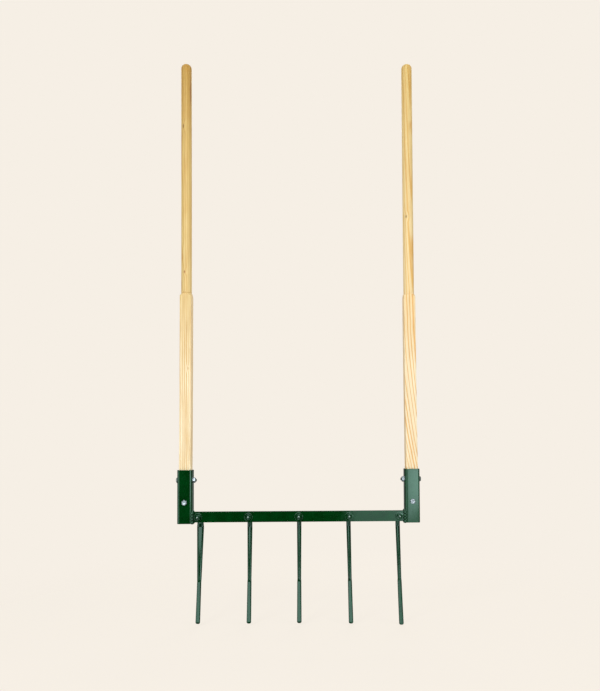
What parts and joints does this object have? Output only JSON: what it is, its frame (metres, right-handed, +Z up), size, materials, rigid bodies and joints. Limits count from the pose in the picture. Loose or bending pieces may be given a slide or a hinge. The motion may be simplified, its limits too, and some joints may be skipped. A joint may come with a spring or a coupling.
{
  "type": "broadfork",
  "caption": "Wide two-handled soil-loosening fork: wooden handles bolted into square steel sockets, a welded foot bar and forward-curved bolted tines.",
  "frame": {"origin": "middle of the crossbar's top face, where the foot goes", "axes": "+Z up along the handles, +X to the right hand, -Y is the front, where the tine nuts show"},
  "size_m": [0.6686, 0.0651, 1.5423],
  "materials": {
    "ash_handle": "pale ash, planed square below and turned round above, thin clear oil",
    "frame_enamel": "deep green gloss enamel over welded steel",
    "tine_enamel": "deep green gloss enamel over forged steel",
    "zinc_plate": "bright zinc plate"
  },
  "bodies": {
    "root": {"crossbar": "frame_enamel", "left_handle": "ash_handle", "left_socket": "frame_enamel", "left_weld": "frame_enamel", "left_side_bolt": "zinc_plate", "left_side_nut": "zinc_plate", "left_front_bolt": "zinc_plate", "left_front_nut": "zinc_plate", "right_handle": "ash_handle", "right_socket": "frame_enamel", "right_weld": "frame_enamel", "right_side_bolt": "zinc_plate", "right_side_nut": "zinc_plate", "right_front_bolt": "zinc_plate", "right_front_nut": "zinc_plate", "tine_1": "tine_enamel", "tine_2": "tine_enamel", "tine_3": "tine_enamel", "tine_4": "tine_enamel", "tine_5": "tine_enamel", "tine_washer_1": "frame_enamel", "tine_washer_2": "frame_enamel", "tine_washer_3": "frame_enamel", "tine_washer_4": "frame_enamel", "tine_washer_5": "frame_enamel", "tine_nut_1": "frame_enamel", "tine_nut_2": "frame_enamel", "tine_nut_3": "frame_enamel", "tine_nut_4": "frame_enamel", "tine_nut_5": "frame_enamel"}
  },
  "joints": []
}
